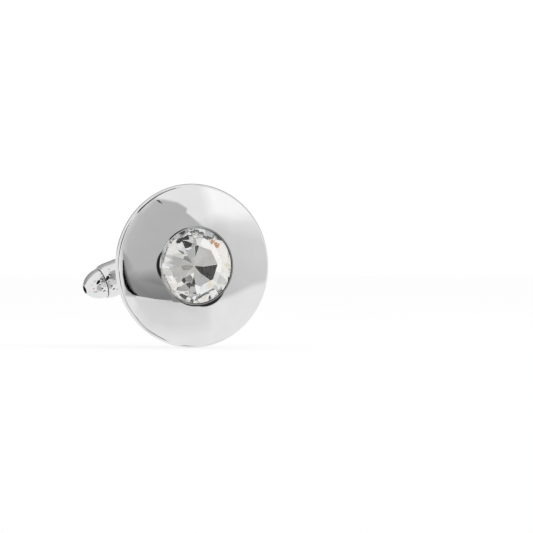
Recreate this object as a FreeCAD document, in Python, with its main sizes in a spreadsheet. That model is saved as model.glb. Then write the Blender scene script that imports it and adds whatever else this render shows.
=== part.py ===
import FreeCAD, Part
import math
import os

import Sketcher

# A cufflink: a domed round head with one cut stone in a bezel, a forked post behind it, and a
# bullet toggle that swivels on a riveted pin between the legs of the fork.
#
# The post's axis is Y. The face looks along -Y, +Z is up, and the origin is the centre of the flat
# on the head's back where the post stands. Pieces of the head are drawn with their height above
# that flat as the sketch's own +Y and are then turned about Z to face -Y. The post and the toggle
# are drawn with the toggle along X and the pin along Z, and are turned about Y by the swivel's roll.

SIZES = {
    # Head: the domed face, in millimetres
    "disc_dia": 18.0,
    "rim_edge": 0.5,
    "dome_share": 1.89,
    "shell_wall": 0.6,
    "rim_front_share": 0.45,
    "rim_back_share": 0.45,
    # Head: the pressed pan that closes the back
    "plate_thickness": 0.45,
    "plate_lip": 0.6,
    "plate_flange": 1.0,
    "flat_land": 0.7,
    # Stone
    "stone_dia": 8.3,
    "stone_setback": 0.2,
    "table_dia": 4.15,
    "crown_height": 0.85,
    "crown_break": 0.59,
    "girdle_edge": 0.15,
    "pavilion_depth": 1.14,
    "pavilion_break": 0.89,
    "culet_dia": 0.2,
    # Bezel ring
    "bezel_wall": 0.12,
    "lip_height": 0.06,
    "lip_lean": 0.09,
    "lip_thickness": 0.12,
    "bezel_flange": 0.45,
    "bezel_flange_thickness": 0.25,
    # Post
    "foot_margin": 0.47,
    "foot_thickness": 0.8,
    "foot_bevel": 0.35,
    "tenon_dia": 2.0,
    "tenon_head_dia": 2.8,
    "tenon_head_height": 0.2,
    "pivot_distance": 13.2,
    "leg_thickness": 0.9,
    "leg_width": 2.5,
    "eye_dia": 3.2,
    "leg_bevel": 0.2,
    # Pin
    "pin_dia": 1.2,
    "flat_depth": 0.15,
    "pin_flat_length": 2.4,
    "rivet_dia": 1.9,
    "rivet_height": 0.35,
    # Toggle
    "barrel_dia": 4.0,
    "barrel_length": 11.3,
    "barrel_wall": 0.45,
    "seam_drop": 0.22,
    "barrel_end_length": 1.0,
    "cap_step": 0.085,
    "cap_length": 2.17,
    "tip_share": 0.31,
    "cap_spigot": 1.2,
    "tip_hole_share": 0.87,
    "tip_hole_depth": 1.4,
    "spring_end_gap": 1.0,
    "spring_width": 1.6,
    "spring_thickness": 0.15,
    # Clearances: soldered or cemented seats, the stone in its ring and over the tenon, the swivel,
    # and press fits
    "seat_gap": 0.02,
    "stone_gap": 0.03,
    "culet_gap": 0.18,
    "side_gap": 0.08,
    "swing_gap": 0.5,
    "pin_gap": 0.03,
    "press_gap": 0.01,
    # Turns, in degrees: the swivel about the post, and the stone's two rings of facets
    "swivel_roll": 20.0,
    "crown_turn": 26.8,
    "pavilion_turn": 17.3,
}

FACETS = 8
PIN_FLATS = 4
LEFT = 1
RIGHT = -1
RIDGE = 1 / math.cos(math.pi / FACETS)
EDGE_TOLERANCE = 1e-4

doc = FreeCAD.newDocument("cufflink")
sheet = doc.addObject("Spreadsheet::Sheet", "Sizes")
bodies = []


def set_cell(name, content, note):
    """Put a value or a formula in the sheet's next row and give it its name."""
    row = len(sheet.getUsedCells()) // 2 + 1
    sheet.set(f"A{row}", note)
    sheet.set(f"B{row}", content)
    sheet.setAlias(f"B{row}", name)


def derive(name, formula):
    """Add a size that follows from others."""
    set_cell(name, "=" + formula, "follows: " + name)
    sheet.recompute()


def value(term):
    """The number behind a sheet name, a sheet name with a minus sign, or 0."""
    if term == "0":
        return 0.0
    if term.startswith("-"):
        return -float(sheet.get(term[1:]))
    return float(sheet.get(term))


def new_body(label):
    body = doc.addObject("PartDesign::Body", label)
    body.Label = label
    bodies.append(body)
    return body


def origin_feature(body, role):
    return next(f for f in body.Origin.OriginFeatures if f.Role == role)


def new_sketch(body, name, plane, turn=0.0):
    """A sketch on one of the body's own planes, turned about Y by an angle in degrees."""
    sketch = body.newObject("Sketcher::SketchObject", name)
    sketch.AttachmentSupport = [(origin_feature(body, plane), "")]
    sketch.MapMode = "FlatFace"
    sketch.AttachmentOffset = FreeCAD.Placement(
        FreeCAD.Vector(), FreeCAD.Rotation(FreeCAD.Vector(0, 1, 0), turn)
    )
    return sketch


def bind(sketch, kind, first, second, name):
    """Add a dimension between two points of a sketch and tie it to a sheet name."""
    index = sketch.addConstraint(Sketcher.Constraint(kind, *first, *second, value(name)))
    sketch.setExpression(f"Constraints[{index}]", f"Sizes.{name}")


def pin_point(sketch, point, x, y):
    """Hold a sketch point at the sheet names x and y, measured from the sketch's origin."""
    origin = (-1, 1)
    for kind, axis, term in (("DistanceX", -2, x), ("DistanceY", -1, y)):
        if term == "0":
            sketch.addConstraint(Sketcher.Constraint("PointOnObject", *point, axis))
        elif term.startswith("-"):
            bind(sketch, kind, point, origin, term[1:])
        else:
            bind(sketch, kind, origin, point, term)


def arc_between(start, end, radius, side):
    """An arc with its centre to the LEFT or RIGHT of the way from start to end."""
    chord = end - start
    offset = math.sqrt(radius**2 - (chord.Length / 2) ** 2)
    normal = FreeCAD.Vector(-chord.y, chord.x, 0).normalize()
    centre = (start + end) * 0.5 + normal * (offset * side)
    first, last = (start, end) if side == LEFT else (end, start)
    angles = [math.atan2(p.y - centre.y, p.x - centre.x) for p in (first, last)]
    circle = Part.Circle(centre, FreeCAD.Vector(0, 0, 1), radius)
    return Part.ArcOfCircle(circle, *angles)


def outline(body, name, plane, path, turn=0.0):
    """Draw a closed profile through named corners.

    A step (x, y) runs straight to that corner from the one before it. A step
    (x, y, radius, side) gets there along an arc.
    """
    sketch = new_sketch(body, name, plane, turn)
    starts, ends = [], []
    for index, step in enumerate(path):
        before = path[index - 1]
        start = FreeCAD.Vector(value(before[0]), value(before[1]), 0)
        end = FreeCAD.Vector(value(step[0]), value(step[1]), 0)
        if len(step) == 2:
            edge = sketch.addGeometry(Part.LineSegment(start, end))
            side = LEFT
        else:
            side = step[3]
            edge = sketch.addGeometry(arc_between(start, end, value(step[2]), side))
            bind(sketch, "Radius", (edge,), (), step[2])
        starts.append((edge, 1 if side == LEFT else 2))
        ends.append((edge, 2 if side == LEFT else 1))
    for index, step in enumerate(path):
        after = (index + 1) % len(path)
        sketch.addConstraint(Sketcher.Constraint("Coincident", *ends[index], *starts[after]))
        pin_point(sketch, ends[index], step[0], step[1])
    return sketch


def round_outline(body, name, plane, x, y, radius):
    """Draw a circle about a named point."""
    sketch = new_sketch(body, name, plane)
    centre = FreeCAD.Vector(value(x), value(y), 0)
    edge = sketch.addGeometry(Part.Circle(centre, FreeCAD.Vector(0, 0, 1), value(radius)))
    bind(sketch, "Radius", (edge,), (), radius)
    pin_point(sketch, (edge, 3), x, y)
    return sketch


def revolve(body, sketch, axis="V_Axis"):
    feature = body.newObject("PartDesign::Revolution", sketch.Name + "_turned")
    feature.Profile = sketch
    feature.ReferenceAxis = (sketch, [axis])
    feature.Angle = 360
    doc.recompute()
    return feature


def pad(body, sketch, length):
    """Extrude a sketch to both sides of its plane."""
    feature = body.newObject("PartDesign::Pad", sketch.Name + "_pad")
    feature.Profile = sketch
    feature.SideType = "Symmetric"
    feature.setExpression("Length", f"Sizes.{length}")
    doc.recompute()
    return feature


def pocket(body, sketch, length):
    """Cut a sketch to both sides of its plane, and make sure that it took material away."""
    before = body.Tip.Shape.Volume
    feature = body.newObject("PartDesign::Pocket", sketch.Name + "_cut")
    feature.Profile = sketch
    feature.SideType = "Symmetric"
    feature.setExpression("Length", f"Sizes.{length}")
    doc.recompute()
    if not feature.Shape.Volume < before:
        raise RuntimeError(f"{feature.Name} cuts nothing")
    return feature


def repeat_round(body, feature, axis, count):
    """Repeat a cut evenly about one of the body's axes."""
    pattern = body.newObject("PartDesign::PolarPattern", feature.Name + "_ring")
    pattern.Originals = [feature]
    pattern.Axis = (origin_feature(body, axis), [""])
    pattern.Angle = 360
    pattern.Occurrences = count
    body.Tip = pattern
    doc.recompute()
    return pattern


def bevel(body, name, size, wanted):
    """Bevel the edges of the body so far that the test picks."""
    base = body.Tip
    names = [f"Edge{i}" for i, edge in enumerate(base.Shape.Edges, 1) if wanted(edge)]
    feature = body.newObject("PartDesign::Chamfer", name)
    feature.Base = (base, names)
    feature.setExpression("Size", f"Sizes.{size}")
    doc.recompute()


def face_forwards(body):
    """Turn a piece of the head so that its front looks along -Y."""
    body.Placement = FreeCAD.Placement(
        FreeCAD.Vector(), FreeCAD.Rotation(FreeCAD.Vector(0, 0, 1), 180)
    )


def roll_swivel(body, angle="swivel_roll", axis=(0, -1, 0), distance=None):
    """Turn a piece of the post or toggle about the post, and set its distance behind the head."""
    body.Placement = FreeCAD.Placement(
        FreeCAD.Vector(), FreeCAD.Rotation(FreeCAD.Vector(*axis), value(angle))
    )
    body.setExpression("Placement.Rotation.Angle", f"Sizes.{angle}")
    if distance:
        body.setExpression("Placement.Base.y", f"Sizes.{distance}")


def shared_sizes():
    """Heights and radii that more than one piece takes its fit from."""
    derive("disc_radius", "disc_dia / 2")
    derive("dome_radius", "disc_dia * dome_share")
    derive("dome_inside", "dome_radius - shell_wall")
    derive("stone_radius", "stone_dia / 2")
    derive("bezel_bore", "stone_radius + stone_gap")
    derive("bezel_radius", "bezel_bore + bezel_wall")
    derive("hole_radius", "bezel_radius + seat_gap")
    derive("tenon_seat", "plate_thickness + seat_gap")
    derive("tenon_end", "tenon_seat + tenon_head_height")
    derive("culet_level", "tenon_end + culet_gap")
    derive("girdle_under", "culet_level + pavilion_depth")
    derive("girdle_top", "girdle_under + girdle_edge")
    derive("table_top", "girdle_top + crown_height")
    derive("hole_top", "girdle_top + stone_setback")
    derive("dome_centre", "hole_top - sqrt(dome_radius^2 - hole_radius^2)")
    derive("rim_top", "dome_centre + sqrt(dome_radius^2 - disc_radius^2)")
    derive("back_bulge", "rim_top - rim_edge")
    derive("recess_radius", "disc_radius - plate_lip")
    derive("plate_front", "back_bulge + plate_thickness")
    derive("barrel_radius", "barrel_dia / 2")
    derive("barrel_half", "barrel_length / 2")
    derive("barrel_bore", "barrel_radius - barrel_wall")
    derive("cap_end", "barrel_half + cap_length")
    derive("pin_radius", "pin_dia / 2")
    derive("slot_half", "barrel_radius + side_gap")
    derive("fork_half", "slot_half + leg_thickness")
    derive("fork_width", "2 * fork_half")
    derive("leg_half", "leg_width / 2")
    derive("foot_radius", "sqrt(fork_half^2 + leg_half^2) + foot_margin")


def face_dome():
    """The pressed face: a spherical dome on a short rim, holed for the bezel, recessed for the back."""
    derive("hole_under", "dome_centre + sqrt(dome_inside^2 - hole_radius^2)")
    derive("ledge", "plate_front + seat_gap")
    derive("cavity_radius", "sqrt(dome_inside^2 - (ledge - dome_centre)^2)")
    derive("rim_bevel", "rim_edge * rim_front_share")
    derive("rim_back_bevel", "rim_edge * rim_back_share")
    derive("bevel_top", "back_bulge + rim_back_bevel")
    derive("bevel_inside", "disc_radius - rim_back_bevel")
    derive("rim_side", "rim_top - rim_bevel")
    derive("rim_inside", "disc_radius - rim_bevel")
    derive("rim_shoulder", "dome_centre + sqrt(dome_radius^2 - rim_inside^2)")
    body = new_body("face_dome")
    profile = outline(body, "dome_profile", "XY_Plane", [
        ("hole_radius", "hole_top"),
        ("rim_inside", "rim_shoulder", "dome_radius", RIGHT),
        ("disc_radius", "rim_side"),
        ("disc_radius", "bevel_top"),
        ("bevel_inside", "back_bulge"),
        ("recess_radius", "back_bulge"),
        ("recess_radius", "ledge"),
        ("cavity_radius", "ledge"),
        ("hole_radius", "hole_under", "dome_inside", LEFT),
    ])
    revolve(body, profile)
    face_forwards(body)


def cut_facets(body, name, inner, level, girdle, slope, rising, turn):
    """Cut one ring of flat facets, each from a radius inwards at a level out to the girdle.

    rising is 1 for the crown, whose facets fall towards the girdle, and -1 for the pavilion.
    """
    reach = f"{rising} * facet_overrun * {slope}"
    derive(f"{name}_inside", f"{inner} - facet_overrun")
    derive(f"{name}_over", f"{level} + {reach}")
    derive(f"{name}_under", f"{girdle} - {reach}")
    corners = [
        (f"{name}_inside", f"{name}_over"),
        ("facet_outside", f"{name}_under"),
        ("facet_outside", f"{name}_over"),
    ]
    cutter = outline(body, name, "XY_Plane", corners, turn)
    repeat_round(body, pocket(body, cutter, "facet_span"), "Y_Axis", FACETS)


def crystal():
    """The stone: a round blank cut with main and break facets on its crown and its pavilion."""
    derive("table_radius", "table_dia / 2")
    derive("culet_radius", "culet_dia / 2")
    derive("facet_overrun", "table_radius / 2")
    derive("facet_outside", "stone_radius + facet_overrun")
    derive("facet_span", "4 * stone_radius")
    derive("crown_slope", "crown_height / (stone_radius - table_radius)")
    derive("pavilion_slope", "pavilion_depth / (stone_radius - culet_radius)")
    derive("crown_ridge", f"(stone_radius - crown_break / crown_slope) * {RIDGE}")
    derive("pavilion_ridge", f"(stone_radius - pavilion_break / pavilion_slope) * {RIDGE}")
    derive("crown_break_slope", "crown_break / (stone_radius - crown_ridge)")
    derive("pavilion_break_slope", "pavilion_break / (stone_radius - pavilion_ridge)")
    derive("crown_break_top", "girdle_top + crown_break")
    derive("pavilion_break_low", "girdle_under - pavilion_break")
    half_step = 180 / FACETS
    crown_turn = value("crown_turn")
    pavilion_turn = value("pavilion_turn")
    body = new_body("crystal")
    blank = outline(body, "blank", "XY_Plane", [
        ("0", "culet_level"),
        ("stone_radius", "culet_level"),
        ("stone_radius", "table_top"),
        ("0", "table_top"),
    ])
    revolve(body, blank)
    cut_facets(
        body, "crown_main", "table_radius", "table_top", "girdle_top", "crown_slope", 1, crown_turn
    )
    cut_facets(
        body, "crown_girdle", "crown_ridge", "crown_break_top", "girdle_top",
        "crown_break_slope", 1, crown_turn + half_step,
    )
    cut_facets(
        body, "pavilion_main", "culet_radius", "culet_level", "girdle_under",
        "pavilion_slope", -1, pavilion_turn,
    )
    cut_facets(
        body, "pavilion_girdle", "pavilion_ridge", "pavilion_break_low", "girdle_under",
        "pavilion_break_slope", -1, pavilion_turn + half_step,
    )
    face_forwards(body)


def bezel_ring():
    """The ring that holds the stone: a conical seat, a lip turned in over it, and a flange behind."""
    derive("seat_level", "girdle_under - seat_gap")
    derive("lip_inside", "bezel_bore - lip_lean")
    derive("lip_outside", "lip_inside + lip_thickness")
    derive("lip_top", "hole_top + lip_height")
    derive("flange_radius", "bezel_radius + bezel_flange")
    derive("flange_top", "dome_centre + sqrt(dome_inside^2 - flange_radius^2) - seat_gap")
    derive("flange_under", "flange_top - bezel_flange_thickness")
    derive("seat_inside", "bezel_bore - (seat_level - flange_under) / pavilion_break_slope")
    body = new_body("bezel_ring")
    profile = outline(body, "ring_profile", "XY_Plane", [
        ("seat_inside", "flange_under"),
        ("bezel_bore", "seat_level"),
        ("bezel_bore", "girdle_top"),
        ("lip_inside", "lip_top"),
        ("lip_outside", "lip_top"),
        ("bezel_radius", "hole_top"),
        ("bezel_radius", "flange_top"),
        ("flange_radius", "flange_top"),
        ("flange_radius", "flange_under"),
    ])
    revolve(body, profile)
    face_forwards(body)


def back_plate():
    """The pressed pan behind the face, flat in its middle for the post and holed for its tenon."""
    derive("plate_radius", "recess_radius - seat_gap")
    derive("plate_flat", "foot_radius + flat_land")
    derive("pan_edge", "plate_radius - plate_flange")
    derive("pan_shift", "plate_thickness * tan(atan(back_bulge / (pan_edge - plate_flat)) / 2)")
    derive("pan_edge_front", "pan_edge - pan_shift")
    derive("plate_flat_front", "plate_flat - pan_shift")
    derive("tenon_hole", "tenon_dia / 2 + press_gap")
    body = new_body("back_plate")
    profile = outline(body, "pan_profile", "XY_Plane", [
        ("tenon_hole", "0"),
        ("plate_flat", "0"),
        ("pan_edge", "back_bulge"),
        ("plate_radius", "back_bulge"),
        ("plate_radius", "plate_front"),
        ("pan_edge_front", "plate_front"),
        ("plate_flat_front", "plate_thickness"),
        ("tenon_hole", "plate_thickness"),
    ])
    revolve(body, profile)
    face_forwards(body)


def along_leg(edge):
    """A test for the long outer edges of the fork's legs and the round edges of its eyes."""
    box = edge.BoundBox
    outer = value("fork_half")
    flat = box.ZLength < EDGE_TOLERANCE and abs(abs(box.ZMin) - outer) < EDGE_TOLERANCE
    hole = isinstance(edge.Curve, Part.Circle) and edge.Curve.Radius < value("eye_radius") - EDGE_TOLERANCE
    return flat and not hole and box.YLength > value("foot_thickness")


def post_fork():
    """The post: a round foot with a riveted tenon, and a fork of two legs that end in eyes."""
    derive("foot_middle", "foot_thickness / 2")
    derive("foot_side", "foot_thickness - foot_bevel")
    derive("foot_top", "foot_radius - foot_bevel")
    derive("tenon_radius", "tenon_dia / 2")
    derive("tenon_head_radius", "tenon_head_dia / 2")
    derive("eye_radius", "eye_dia / 2")
    derive("slot_floor", "pivot_distance - cap_end - swing_gap")
    derive("slot_round", "slot_floor + slot_half")
    derive("slot_end", "pivot_distance + eye_dia")
    derive("slot_span", "2 * eye_dia")
    derive("pin_hole", "pin_radius + press_gap")
    derive("pin_hole_span", "2 * fork_width")
    body = new_body("post_fork")
    revolve(body, outline(body, "foot_profile", "XY_Plane", [
        ("0", "-tenon_end"),
        ("tenon_head_radius", "-tenon_end"),
        ("tenon_head_radius", "-tenon_seat"),
        ("tenon_radius", "-tenon_seat"),
        ("tenon_radius", "0"),
        ("foot_radius", "0"),
        ("foot_radius", "foot_side"),
        ("foot_top", "foot_thickness"),
        ("0", "foot_thickness"),
    ]))
    legs = outline(body, "legs", "XY_Plane", [
        ("-leg_half", "foot_middle"),
        ("leg_half", "foot_middle"),
        ("leg_half", "pivot_distance"),
        ("-leg_half", "pivot_distance"),
    ])
    pad(body, legs, "fork_width")
    eyes = round_outline(body, "eyes", "XY_Plane", "0", "pivot_distance", "eye_radius")
    pad(body, eyes, "fork_width")
    slot = outline(body, "slot", "YZ_Plane", [
        ("slot_round", "-slot_half"),
        ("slot_end", "-slot_half"),
        ("slot_end", "slot_half"),
        ("slot_round", "slot_half"),
    ])
    pocket(body, slot, "slot_span")
    slot_root = round_outline(body, "slot_root", "YZ_Plane", "slot_round", "0", "slot_half")
    pocket(body, slot_root, "slot_span")
    eye_holes = round_outline(body, "eye_holes", "XY_Plane", "0", "pivot_distance", "pin_hole")
    pocket(body, eye_holes, "pin_hole_span")
    bevel(body, "leg_edges", "leg_bevel", along_leg)
    roll_swivel(body)


def pivot_pin():
    """The rivet across the fork, with a domed head on each side and flats for the detent."""
    derive("rivet_radius", "rivet_dia / 2")
    derive("rivet_seat", "fork_half + seat_gap")
    derive("rivet_end", "rivet_seat + rivet_height")
    derive("rivet_crown", "(rivet_radius^2 + rivet_height^2) / (2 * rivet_height)")
    derive("flat_half", "pin_radius - flat_depth")
    body = new_body("pivot_pin")
    revolve(body, outline(body, "rivet_profile", "XZ_Plane", [
        ("0", "-rivet_end"),
        ("rivet_radius", "-rivet_seat", "rivet_crown", LEFT),
        ("pin_radius", "-rivet_seat"),
        ("pin_radius", "rivet_seat"),
        ("rivet_radius", "rivet_seat"),
        ("0", "rivet_end", "rivet_crown", LEFT),
    ]))
    flat = outline(body, "flat", "XY_Plane", [
        ("flat_half", "-pin_dia"),
        ("pin_dia", "-pin_dia"),
        ("pin_dia", "pin_dia"),
        ("flat_half", "pin_dia"),
    ])
    repeat_round(body, pocket(body, flat, "pin_flat_length"), "Z_Axis", PIN_FLATS)
    roll_swivel(body, distance="pivot_distance")


def toggle_barrel():
    """The toggle's hollow cylinder, drawn in a little at both ends and cross-drilled for the pin."""
    derive("seam_radius", "barrel_radius - seam_drop")
    derive("barrel_straight", "barrel_half - barrel_end_length")
    derive("barrel_end_curve", "(barrel_end_length^2 + seam_drop^2) / (2 * seam_drop)")
    derive("cross_hole", "pin_radius + pin_gap")
    derive("cross_hole_span", "2 * barrel_dia")
    body = new_body("toggle_barrel")
    revolve(body, outline(body, "barrel_profile", "XY_Plane", [
        ("-barrel_half", "barrel_bore"),
        ("barrel_half", "barrel_bore"),
        ("barrel_half", "seam_radius"),
        ("barrel_straight", "barrel_radius", "barrel_end_curve", LEFT),
        ("-barrel_straight", "barrel_radius"),
        ("-barrel_half", "seam_radius", "barrel_end_curve", LEFT),
    ]), "H_Axis")
    cross_drill = round_outline(body, "cross_drill", "XY_Plane", "0", "0", "cross_hole")
    pocket(body, cross_drill, "cross_hole_span")
    roll_swivel(body, distance="pivot_distance")


def end_cap(label, angle, axis):
    """A domed plug pressed into one end of the barrel, with a small blind hole in its tip."""
    body = new_body(label)
    revolve(body, outline(body, label + "_profile", "XY_Plane", [
        ("spigot_start", "0"),
        ("tip_hole_floor", "0"),
        ("tip_hole_floor", "tip_hole_radius"),
        ("cap_end", "tip_hole_radius"),
        ("cap_end", "cap_tip_radius"),
        ("cap_seat", "cap_radius", "cap_curve", LEFT),
        ("cap_seat", "spigot_radius"),
        ("spigot_start", "spigot_radius"),
    ]), "H_Axis")
    roll_swivel(body, angle, axis, "pivot_distance")


def end_caps():
    """The two caps, which are alike and face opposite ways."""
    derive("cap_radius", "seam_radius - cap_step")
    derive("cap_tip_radius", "cap_radius * tip_share")
    derive("cap_seat", "barrel_half + seat_gap")
    derive("cap_drop", "cap_radius - cap_tip_radius")
    derive("cap_curve", "((cap_end - cap_seat)^2 + cap_drop^2) / (2 * cap_drop)")
    derive("spigot_start", "barrel_half - cap_spigot")
    derive("spigot_radius", "barrel_bore - press_gap")
    derive("tip_hole_radius", "cap_tip_radius * tip_hole_share")
    derive("tip_hole_floor", "cap_end - tip_hole_depth")
    derive("opposite_roll", "180 - swivel_roll")
    end_cap("end_cap_right", "swivel_roll", (0, -1, 0))
    end_cap("end_cap_left", "opposite_roll", (0, 1, 0))


def detent_spring():
    """A leaf bowed against one flat of the pin, with its ends against the wall of the barrel."""
    derive("spring_half", "barrel_half - cap_spigot - spring_end_gap")
    derive("spring_near", "flat_half + seat_gap")
    derive("spring_wall", "sqrt(barrel_bore^2 - (spring_width / 2)^2) - seat_gap")
    derive("spring_bow", "spring_wall - spring_near - spring_thickness")
    derive("spring_inner", "(spring_half^2 + spring_bow^2) / (2 * spring_bow)")
    derive("spring_outer", "spring_inner + spring_thickness")
    derive("spring_end", "spring_near + spring_outer - sqrt(spring_outer^2 - spring_half^2)")
    body = new_body("detent_spring")
    leaf = outline(body, "leaf", "XY_Plane", [
        ("-spring_half", "spring_end"),
        ("spring_half", "spring_end", "spring_outer", LEFT),
        ("spring_half", "spring_wall"),
        ("-spring_half", "spring_wall", "spring_inner", RIGHT),
    ])
    pad(body, leaf, "spring_width")
    roll_swivel(body, distance="pivot_distance")


def check_document():
    """Stop if any object failed to compute or any piece is not one valid solid."""
    for item in doc.Objects:
        if "Invalid" in item.State or "Error" in item.State:
            raise RuntimeError(f"{item.Name} did not compute")
    for body in bodies:
        shape = body.Shape
        if shape.isNull() or not shape.isValid() or len(shape.Solids) != 1:
            raise RuntimeError(f"{body.Label} is not one valid solid")


def write_parts():
    os.makedirs("parts", exist_ok=True)
    for body in bodies:
        body.Shape.exportStep(f"parts/{body.Label}.step")
        print(f"{body.Label}: {body.Shape.Volume:.3f} cubic millimetres")


for size_name, size in SIZES.items():
    set_cell(size_name, str(size), size_name)
doc.recompute()
shared_sizes()
face_dome()
crystal()
bezel_ring()
back_plate()
post_fork()
pivot_pin()
toggle_barrel()
end_caps()
detent_spring()
doc.recompute()
check_document()
write_parts()
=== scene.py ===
"""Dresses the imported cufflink: plated metal, a foiled cut stone, and a plain white studio."""

import logging
import math
from dataclasses import dataclass, field
from enum import Enum

import bmesh
import bpy
from mathutils import Matrix, Vector


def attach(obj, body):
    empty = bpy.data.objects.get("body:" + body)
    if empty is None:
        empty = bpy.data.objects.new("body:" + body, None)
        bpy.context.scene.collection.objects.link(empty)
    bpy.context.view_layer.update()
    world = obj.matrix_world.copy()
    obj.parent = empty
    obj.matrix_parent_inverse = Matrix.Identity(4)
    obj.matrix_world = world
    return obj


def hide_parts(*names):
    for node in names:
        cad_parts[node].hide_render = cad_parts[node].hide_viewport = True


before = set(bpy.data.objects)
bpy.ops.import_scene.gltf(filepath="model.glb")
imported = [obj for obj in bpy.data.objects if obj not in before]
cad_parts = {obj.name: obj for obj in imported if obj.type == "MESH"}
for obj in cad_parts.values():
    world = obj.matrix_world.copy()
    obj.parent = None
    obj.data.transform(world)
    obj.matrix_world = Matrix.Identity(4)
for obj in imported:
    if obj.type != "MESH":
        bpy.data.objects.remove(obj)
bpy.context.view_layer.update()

LOG = logging.getLogger("cufflink")
MM = 0.001
FACETS = 8
HALF_FACET = math.pi / FACETS
RIDGE = 1 / math.cos(HALF_FACET)
# Turned shapes, in millimetres: nearer the axis than this is on it, and points this close are one.
ON_AXIS = 1e-9
WELD = 1e-6
# An edge that turns by more degrees than this stays crisp.
SHARP_ANGLE = 28.0
# The darkest painted shade, which covers the metal wholly.
FULL = 1.0
# The colour sockets of a Mix node.
MIX_FIRST, MIX_SECOND, MIX_RESULT = 6, 7, 2

Triple = tuple[float, float, float]
Pair = tuple[float, float]
Socket = bpy.types.NodeSocket
Material = bpy.types.Material
Inputs = dict[str | int, object]
WHITE: Triple = (1.0, 1.0, 1.0)


class Body(Enum):
    """The two rigid bodies that the pieces ride on."""

    HEAD = "head"
    TOGGLE = "toggle"


class Slot(Enum):
    """The record's material slots of the pieces that are made here."""

    METAL = "polished_metal"
    GLASS = "cut_glass"


class NodeBench:
    """Lays out nodes in one tree and links them in the order that they are made."""

    def __init__(self, tree: bpy.types.NodeTree) -> None:
        """Keep the tree to work on."""
        self.tree = tree

    def add(self, kind: str, **settings: object) -> bpy.types.Node:
        """Add a node.

        Args:
            kind: The node's type name.
            **settings: Properties of the node to set.

        Returns:
            The new node.
        """
        node = self.tree.nodes.new(kind)
        for name, value in settings.items():
            setattr(node, name, value)
        return node

    def link(self, source: Socket, target: Socket) -> None:
        """Join an output to an input."""
        self.tree.links.new(source, target)

    def feed(self, node: bpy.types.Node, inputs: Inputs) -> None:
        """Link or set some inputs of a node.

        Args:
            node: The node.
            inputs: Sockets to link or constants to set, by the input's name or number.
        """
        for name, value in inputs.items():
            if isinstance(value, Socket):
                self.link(value, node.inputs[name])
            else:
                node.inputs[name].default_value = value

    def run(self, kind: str, inputs: Inputs, **settings: object) -> Socket:
        """Add a node and feed it.

        Args:
            kind: The node's type name.
            inputs: Sockets or constants for its inputs.
            **settings: Properties of the node to set.

        Returns:
            The node's first output.
        """
        node = self.add(kind, **settings)
        self.feed(node, inputs)
        return node.outputs[0]

    def math(self, operation: str, *terms: Socket | float) -> Socket:
        """The result of a Math node for some sockets or numbers."""
        return self.run("ShaderNodeMath", dict(enumerate(terms)), operation=operation)

    def read(self, name: str, output: str = "Fac") -> Socket:
        """An attribute of the mesh, as a value or as a colour."""
        return self.add("ShaderNodeAttribute", attribute_name=name).outputs[output]

    def split(self, kind: str) -> bpy.types.NodeOutputs:
        """The X, Y and Z of what an input node of Geometry Nodes gives."""
        apart = self.run("ShaderNodeSeparateXYZ", {0: self.add(kind).outputs[0]})
        return apart.node.outputs

    def noise(self, scale: float, detail: float = 2.0, stretch: Triple = (1.0, 1.0, 1.0),
              turn: Triple = (0.0, 0.0, 0.0)) -> Socket:
        """Add noise over the object's own coordinates.

        Args:
            scale: How fine the noise is.
            detail: How many finer layers it has.
            stretch: What the coordinates are multiplied by first.
            turn: How they are turned then, in radians.

        Returns:
            The noise as a value.
        """
        place = self.add("ShaderNodeTexCoord").outputs["Object"]
        bent = self.run("ShaderNodeMapping", {"Vector": place, "Scale": stretch, "Rotation": turn})
        return self.run("ShaderNodeTexNoise", {"Vector": bent, "Scale": scale, "Detail": detail})

    def ramp(self, source: Socket, stops: Pair, *colours: Triple) -> Socket:
        """Add a colour ramp.

        Args:
            source: The value that runs along the ramp.
            stops: The two places on the ramp that hold a colour.
            *colours: Their colours.

        Returns:
            The ramp's colour.
        """
        node = self.add("ShaderNodeValToRGB")
        for element, place, colour in zip(node.color_ramp.elements, stops, colours):
            element.position = place
            element.color = (*colour, 1.0)
        self.link(source, node.inputs[0])
        return node.outputs[0]

    def spread(self, source: Socket, low: float, high: float) -> Socket:
        """Map a value from 0 to 1 onto a range."""
        return self.run("ShaderNodeMapRange", {"Value": source, "To Min": low, "To Max": high})

    def blend(self, share: Socket, first: Socket, second: Socket) -> None:
        """Make a mix of two shaders the material's surface."""
        mix = self.run("ShaderNodeMixShader", {0: share, 1: first, 2: second})
        self.link(mix, self.tree.nodes["Material Output"].inputs["Surface"])


def new_material(name: str) -> tuple[Material, NodeBench, bpy.types.Node]:
    """Start a material.

    Args:
        name: The material's name.

    Returns:
        The material, a bench on its nodes, and its Principled shader.
    """
    material = bpy.data.materials.new(name)
    material.use_nodes = True
    bench = NodeBench(material.node_tree)
    return material, bench, material.node_tree.nodes["Principled BSDF"]


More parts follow.
